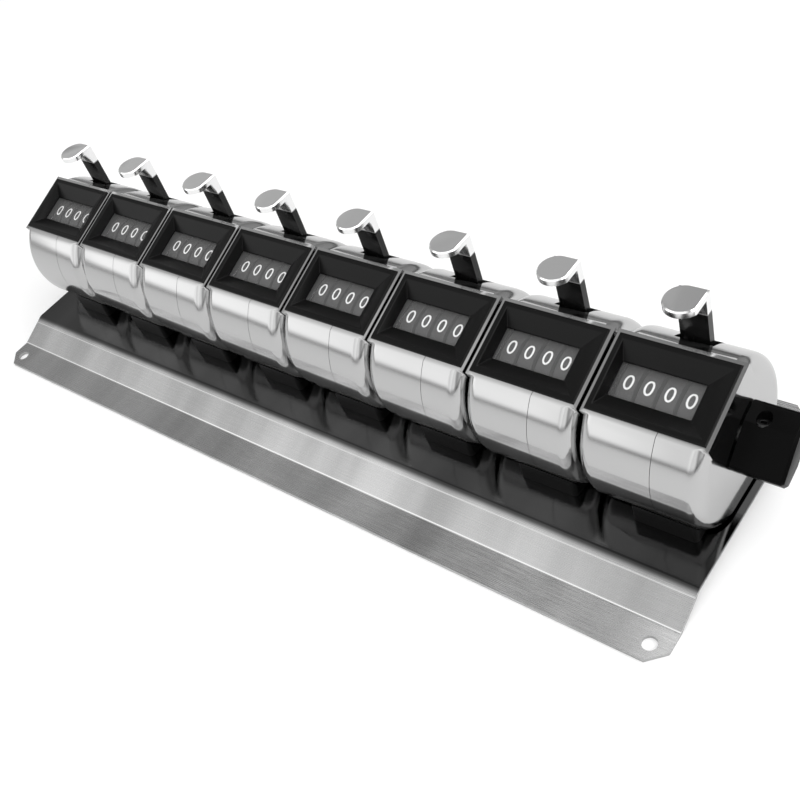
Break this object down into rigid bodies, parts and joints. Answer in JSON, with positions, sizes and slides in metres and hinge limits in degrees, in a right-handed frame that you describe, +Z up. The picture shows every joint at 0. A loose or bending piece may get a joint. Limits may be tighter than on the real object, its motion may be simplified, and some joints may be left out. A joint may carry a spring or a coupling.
{
  "type": "multiple tally counter",
  "caption": "Row of chromed tally counters with thumb levers, number windows and a shared reset knob, on a folded stainless base.",
  "frame": {"origin": "middle of the four fixing holes, on the underside of the base's flanges", "axes": "+X along the row towards the reset knob, +Y from the window side to the rear, +Z up"},
  "size_m": [0.3205, 0.097, 0.0661],
  "materials": {
    "stainless_sheet": "fine lengthwise brushing",
    "black_moulding": "smooth black moulding",
    "screw_steel": "plain steel screws",
    "chromed_shell": "polished chrome plate",
    "window_frame": "black moulding with a dull sheen",
    "clear_pane": "clear pane",
    "chromed_lever": "polished chrome plate",
    "mechanism_steel": "plain pressed steel",
    "wheel_black": "dull black moulding",
    "shaft_steel": "ground steel",
    "knob_black": "smooth black moulding"
  },
  "bodies": {
    "bank": {"base_plate": "stainless_sheet", "feet": "black_moulding", "foot_screws": "screw_steel", "nut_bars": "mechanism_steel", "left_shells": "chromed_shell", "right_shells": "chromed_shell", "bezels": "window_frame", "window_panes": "clear_pane", "left_side_plates": "mechanism_steel", "right_side_plates": "mechanism_steel", "frame_posts": "mechanism_steel", "lever_pins": "mechanism_steel", "wheel_spacers": "mechanism_steel", "detent_combs": "mechanism_steel", "return_springs": "mechanism_steel"},
    "reset": {"reset_shaft": "shaft_steel", "shaft_clip": "shaft_steel", "reset_knob": "knob_black", "knob_set_screw": "screw_steel"},
    "lever_1": {"lever_1": "chromed_lever"},
    "wheel_1_thousands": {"wheel_1_thousands": "wheel_black"},
    "wheel_1_hundreds": {"wheel_1_hundreds": "wheel_black"},
    "wheel_1_tens": {"wheel_1_tens": "wheel_black"},
    "wheel_1_units": {"wheel_1_units": "wheel_black"},
    "lever_2": {"lever_2": "chromed_lever"},
    "wheel_2_thousands": {"wheel_2_thousands": "wheel_black"},
    "wheel_2_hundreds": {"wheel_2_hundreds": "wheel_black"},
    "wheel_2_tens": {"wheel_2_tens": "wheel_black"},
    "wheel_2_units": {"wheel_2_units": "wheel_black"},
    "lever_3": {"lever_3": "chromed_lever"},
    "wheel_3_thousands": {"wheel_3_thousands": "wheel_black"},
    "wheel_3_hundreds": {"wheel_3_hundreds": "wheel_black"},
    "wheel_3_tens": {"wheel_3_tens": "wheel_black"},
    "wheel_3_units": {"wheel_3_units": "wheel_black"},
    "lever_4": {"lever_4": "chromed_lever"},
    "wheel_4_thousands": {"wheel_4_thousands": "wheel_black"},
    "wheel_4_hundreds": {"wheel_4_hundreds": "wheel_black"},
    "wheel_4_tens": {"wheel_4_tens": "wheel_black"},
    "wheel_4_units": {"wheel_4_units": "wheel_black"},
    "lever_5": {"lever_5": "chromed_lever"},
    "wheel_5_thousands": {"wheel_5_thousands": "wheel_black"},
    "wheel_5_hundreds": {"wheel_5_hundreds": "wheel_black"},
    "wheel_5_tens": {"wheel_5_tens": "wheel_black"},
    "wheel_5_units": {"wheel_5_units": "wheel_black"},
    "lever_6": {"lever_6": "chromed_lever"},
    "wheel_6_thousands": {"wheel_6_thousands": "wheel_black"},
    "wheel_6_hundreds": {"wheel_6_hundreds": "wheel_black"},
    "wheel_6_tens": {"wheel_6_tens": "wheel_black"},
    "wheel_6_units": {"wheel_6_units": "wheel_black"},
    "lever_7": {"lever_7": "chromed_lever"},
    "wheel_7_thousands": {"wheel_7_thousands": "wheel_black"},
    "wheel_7_hundreds": {"wheel_7_hundreds": "wheel_black"},
    "wheel_7_tens": {"wheel_7_tens": "wheel_black"},
    "wheel_7_units": {"wheel_7_units": "wheel_black"},
    "lever_8": {"lever_8": "chromed_lever"},
    "wheel_8_thousands": {"wheel_8_thousands": "wheel_black"},
    "wheel_8_hundreds": {"wheel_8_hundreds": "wheel_black"},
    "wheel_8_tens": {"wheel_8_tens": "wheel_black"},
    "wheel_8_units": {"wheel_8_units": "wheel_black"}
  },
  "joints": [
    {"name": "reset_turn", "type": "hinge", "parent": "bank", "child": "reset", "pos_m": [0, 0.0083, 0.0315], "axis": [1, 0, 0], "continuous": true},
    {"name": "lever_1_press", "type": "hinge", "parent": "bank", "child": "lever_1", "pos_m": [-0.133, -0.0087, 0.031], "axis": [-1, 0, 0], "range_deg": [0, 8], "stiffness_Nm_per_rad": 0.5, "springref_deg": -11.46},
    {"name": "wheel_1_thousands_turn", "type": "hinge", "parent": "bank", "child": "wheel_1_thousands", "pos_m": [-0.14445, 0.0083, 0.0315], "axis": [1, 0, 0], "continuous": true},
    {"name": "wheel_1_hundreds_turn", "type": "hinge", "parent": "bank", "child": "wheel_1_hundreds", "pos_m": [-0.13835, 0.0083, 0.0315], "axis": [1, 0, 0], "continuous": true},
    {"name": "wheel_1_tens_turn", "type": "hinge", "parent": "bank", "child": "wheel_1_tens", "pos_m": [-0.13225, 0.0083, 0.0315], "axis": [1, 0, 0], "continuous": true},
    {"name": "wheel_1_units_turn", "type": "hinge", "parent": "bank", "child": "wheel_1_units", "pos_m": [-0.12615, 0.0083, 0.0315], "axis": [1, 0, 0], "continuous": true},
    {"name": "lever_2_press", "type": "hinge", "parent": "bank", "child": "lever_2", "pos_m": [-0.095, -0.0087, 0.031], "axis": [-1, 0, 0], "range_deg": [0, 8], "stiffness_Nm_per_rad": 0.5, "springref_deg": -11.46},
    {"name": "wheel_2_thousands_turn", "type": "hinge", "parent": "bank", "child": "wheel_2_thousands", "pos_m": [-0.10645, 0.0083, 0.0315], "axis": [1, 0, 0], "continuous": true},
    {"name": "wheel_2_hundreds_turn", "type": "hinge", "parent": "bank", "child": "wheel_2_hundreds", "pos_m": [-0.10035, 0.0083, 0.0315], "axis": [1, 0, 0], "continuous": true},
    {"name": "wheel_2_tens_turn", "type": "hinge", "parent": "bank", "child": "wheel_2_tens", "pos_m": [-0.09425, 0.0083, 0.0315], "axis": [1, 0, 0], "continuous": true},
    {"name": "wheel_2_units_turn", "type": "hinge", "parent": "bank", "child": "wheel_2_units", "pos_m": [-0.08815, 0.0083, 0.0315], "axis": [1, 0, 0], "continuous": true},
    {"name": "lever_3_press", "type": "hinge", "parent": "bank", "child": "lever_3", "pos_m": [-0.057, -0.0087, 0.031], "axis": [-1, 0, 0], "range_deg": [0, 8], "stiffness_Nm_per_rad": 0.5, "springref_deg": -11.46},
    {"name": "wheel_3_thousands_turn", "type": "hinge", "parent": "bank", "child": "wheel_3_thousands", "pos_m": [-0.06845, 0.0083, 0.0315], "axis": [1, 0, 0], "continuous": true},
    {"name": "wheel_3_hundreds_turn", "type": "hinge", "parent": "bank", "child": "wheel_3_hundreds", "pos_m": [-0.06235, 0.0083, 0.0315], "axis": [1, 0, 0], "continuous": true},
    {"name": "wheel_3_tens_turn", "type": "hinge", "parent": "bank", "child": "wheel_3_tens", "pos_m": [-0.05625, 0.0083, 0.0315], "axis": [1, 0, 0], "continuous": true},
    {"name": "wheel_3_units_turn", "type": "hinge", "parent": "bank", "child": "wheel_3_units", "pos_m": [-0.05015, 0.0083, 0.0315], "axis": [1, 0, 0], "continuous": true},
    {"name": "lever_4_press", "type": "hinge", "parent": "bank", "child": "lever_4", "pos_m": [-0.019, -0.0087, 0.031], "axis": [-1, 0, 0], "range_deg": [0, 8], "stiffness_Nm_per_rad": 0.5, "springref_deg": -11.46},
    {"name": "wheel_4_thousands_turn", "type": "hinge", "parent": "bank", "child": "wheel_4_thousands", "pos_m": [-0.03045, 0.0083, 0.0315], "axis": [1, 0, 0], "continuous": true},
    {"name": "wheel_4_hundreds_turn", "type": "hinge", "parent": "bank", "child": "wheel_4_hundreds", "pos_m": [-0.02435, 0.0083, 0.0315], "axis": [1, 0, 0], "continuous": true},
    {"name": "wheel_4_tens_turn", "type": "hinge", "parent": "bank", "child": "wheel_4_tens", "pos_m": [-0.01825, 0.0083, 0.0315], "axis": [1, 0, 0], "continuous": true},
    {"name": "wheel_4_units_turn", "type": "hinge", "parent": "bank", "child": "wheel_4_units", "pos_m": [-0.01215, 0.0083, 0.0315], "axis": [1, 0, 0], "continuous": true},
    {"name": "lever_5_press", "type": "hinge", "parent": "bank", "child": "lever_5", "pos_m": [0.019, -0.0087, 0.031], "axis": [-1, 0, 0], "range_deg": [0, 8], "stiffness_Nm_per_rad": 0.5, "springref_deg": -11.46},
    {"name": "wheel_5_thousands_turn", "type": "hinge", "parent": "bank", "child": "wheel_5_thousands", "pos_m": [0.00755, 0.0083, 0.0315], "axis": [1, 0, 0], "continuous": true},
    {"name": "wheel_5_hundreds_turn", "type": "hinge", "parent": "bank", "child": "wheel_5_hundreds", "pos_m": [0.01365, 0.0083, 0.0315], "axis": [1, 0, 0], "continuous": true},
    {"name": "wheel_5_tens_turn", "type": "hinge", "parent": "bank", "child": "wheel_5_tens", "pos_m": [0.01975, 0.0083, 0.0315], "axis": [1, 0, 0], "continuous": true},
    {"name": "wheel_5_units_turn", "type": "hinge", "parent": "bank", "child": "wheel_5_units", "pos_m": [0.02585, 0.0083, 0.0315], "axis": [1, 0, 0], "continuous": true},
    {"name": "lever_6_press", "type": "hinge", "parent": "bank", "child": "lever_6", "pos_m": [0.057, -0.0087, 0.031], "axis": [-1, 0, 0], "range_deg": [0, 8], "stiffness_Nm_per_rad": 0.5, "springref_deg": -11.46},
    {"name": "wheel_6_thousands_turn", "type": "hinge", "parent": "bank", "child": "wheel_6_thousands", "pos_m": [0.04555, 0.0083, 0.0315], "axis": [1, 0, 0], "continuous": true},
    {"name": "wheel_6_hundreds_turn", "type": "hinge", "parent": "bank", "child": "wheel_6_hundreds", "pos_m": [0.05165, 0.0083, 0.0315], "axis": [1, 0, 0], "continuous": true},
    {"name": "wheel_6_tens_turn", "type": "hinge", "parent": "bank", "child": "wheel_6_tens", "pos_m": [0.05775, 0.0083, 0.0315], "axis": [1, 0, 0], "continuous": true},
    {"name": "wheel_6_units_turn", "type": "hinge", "parent": "bank", "child": "wheel_6_units", "pos_m": [0.06385, 0.0083, 0.0315], "axis": [1, 0, 0], "continuous": true},
    {"name": "lever_7_press", "type": "hinge", "parent": "bank", "child": "lever_7", "pos_m": [0.095, -0.0087, 0.031], "axis": [-1, 0, 0], "range_deg": [0, 8], "stiffness_Nm_per_rad": 0.5, "springref_deg": -11.46},
    {"name": "wheel_7_thousands_turn", "type": "hinge", "parent": "bank", "child": "wheel_7_thousands", "pos_m": [0.08355, 0.0083, 0.0315], "axis": [1, 0, 0], "continuous": true},
    {"name": "wheel_7_hundreds_turn", "type": "hinge", "parent": "bank", "child": "wheel_7_hundreds", "pos_m": [0.08965, 0.0083, 0.0315], "axis": [1, 0, 0], "continuous": true},
    {"name": "wheel_7_tens_turn", "type": "hinge", "parent": "bank", "child": "wheel_7_tens", "pos_m": [0.09575, 0.0083, 0.0315], "axis": [1, 0, 0], "continuous": true},
    {"name": "wheel_7_units_turn", "type": "hinge", "parent": "bank", "child": "wheel_7_units", "pos_m": [0.10185, 0.0083, 0.0315], "axis": [1, 0, 0], "continuous": true},
    {"name": "lever_8_press", "type": "hinge", "parent": "bank", "child": "lever_8", "pos_m": [0.133, -0.0087, 0.031], "axis": [-1, 0, 0], "range_deg": [0, 8], "stiffness_Nm_per_rad": 0.5, "springref_deg": -11.46},
    {"name": "wheel_8_thousands_turn", "type": "hinge", "parent": "bank", "child": "wheel_8_thousands", "pos_m": [0.12155, 0.0083, 0.0315], "axis": [1, 0, 0], "continuous": true},
    {"name": "wheel_8_hundreds_turn", "type": "hinge", "parent": "bank", "child": "wheel_8_hundreds", "pos_m": [0.12765, 0.0083, 0.0315], "axis": [1, 0, 0], "continuous": true},
    {"name": "wheel_8_tens_turn", "type": "hinge", "parent": "bank", "child": "wheel_8_tens", "pos_m": [0.13375, 0.0083, 0.0315], "axis": [1, 0, 0], "continuous": true},
    {"name": "wheel_8_units_turn", "type": "hinge", "parent": "bank", "child": "wheel_8_units", "pos_m": [0.13985, 0.0083, 0.0315], "axis": [1, 0, 0], "continuous": true}
  ],
  "couplings": [
    {"joint": "wheel_1_tens_turn", "follows": "wheel_1_units_turn", "ratio": 0.1},
    {"joint": "wheel_1_hundreds_turn", "follows": "wheel_1_units_turn", "ratio": 0.01},
    {"joint": "wheel_1_thousands_turn", "follows": "wheel_1_units_turn", "ratio": 0.001},
    {"joint": "wheel_2_tens_turn", "follows": "wheel_2_units_turn", "ratio": 0.1},
    {"joint": "wheel_2_hundreds_turn", "follows": "wheel_2_units_turn", "ratio": 0.01},
    {"joint": "wheel_2_thousands_turn", "follows": "wheel_2_units_turn", "ratio": 0.001},
    {"joint": "wheel_3_tens_turn", "follows": "wheel_3_units_turn", "ratio": 0.1},
    {"joint": "wheel_3_hundreds_turn", "follows": "wheel_3_units_turn", "ratio": 0.01},
    {"joint": "wheel_3_thousands_turn", "follows": "wheel_3_units_turn", "ratio": 0.001},
    {"joint": "wheel_4_tens_turn", "follows": "wheel_4_units_turn", "ratio": 0.1},
    {"joint": "wheel_4_hundreds_turn", "follows": "wheel_4_units_turn", "ratio": 0.01},
    {"joint": "wheel_4_thousands_turn", "follows": "wheel_4_units_turn", "ratio": 0.001},
    {"joint": "wheel_5_tens_turn", "follows": "wheel_5_units_turn", "ratio": 0.1},
    {"joint": "wheel_5_hundreds_turn", "follows": "wheel_5_units_turn", "ratio": 0.01},
    {"joint": "wheel_5_thousands_turn", "follows": "wheel_5_units_turn", "ratio": 0.001},
    {"joint": "wheel_6_tens_turn", "follows": "wheel_6_units_turn", "ratio": 0.1},
    {"joint": "wheel_6_hundreds_turn", "follows": "wheel_6_units_turn", "ratio": 0.01},
    {"joint": "wheel_6_thousands_turn", "follows": "wheel_6_units_turn", "ratio": 0.001},
    {"joint": "wheel_7_tens_turn", "follows": "wheel_7_units_turn", "ratio": 0.1},
    {"joint": "wheel_7_hundreds_turn", "follows": "wheel_7_units_turn", "ratio": 0.01},
    {"joint": "wheel_7_thousands_turn", "follows": "wheel_7_units_turn", "ratio": 0.001},
    {"joint": "wheel_8_tens_turn", "follows": "wheel_8_units_turn", "ratio": 0.1},
    {"joint": "wheel_8_hundreds_turn", "follows": "wheel_8_units_turn", "ratio": 0.01},
    {"joint": "wheel_8_thousands_turn", "follows": "wheel_8_units_turn", "ratio": 0.001}
  ]
}
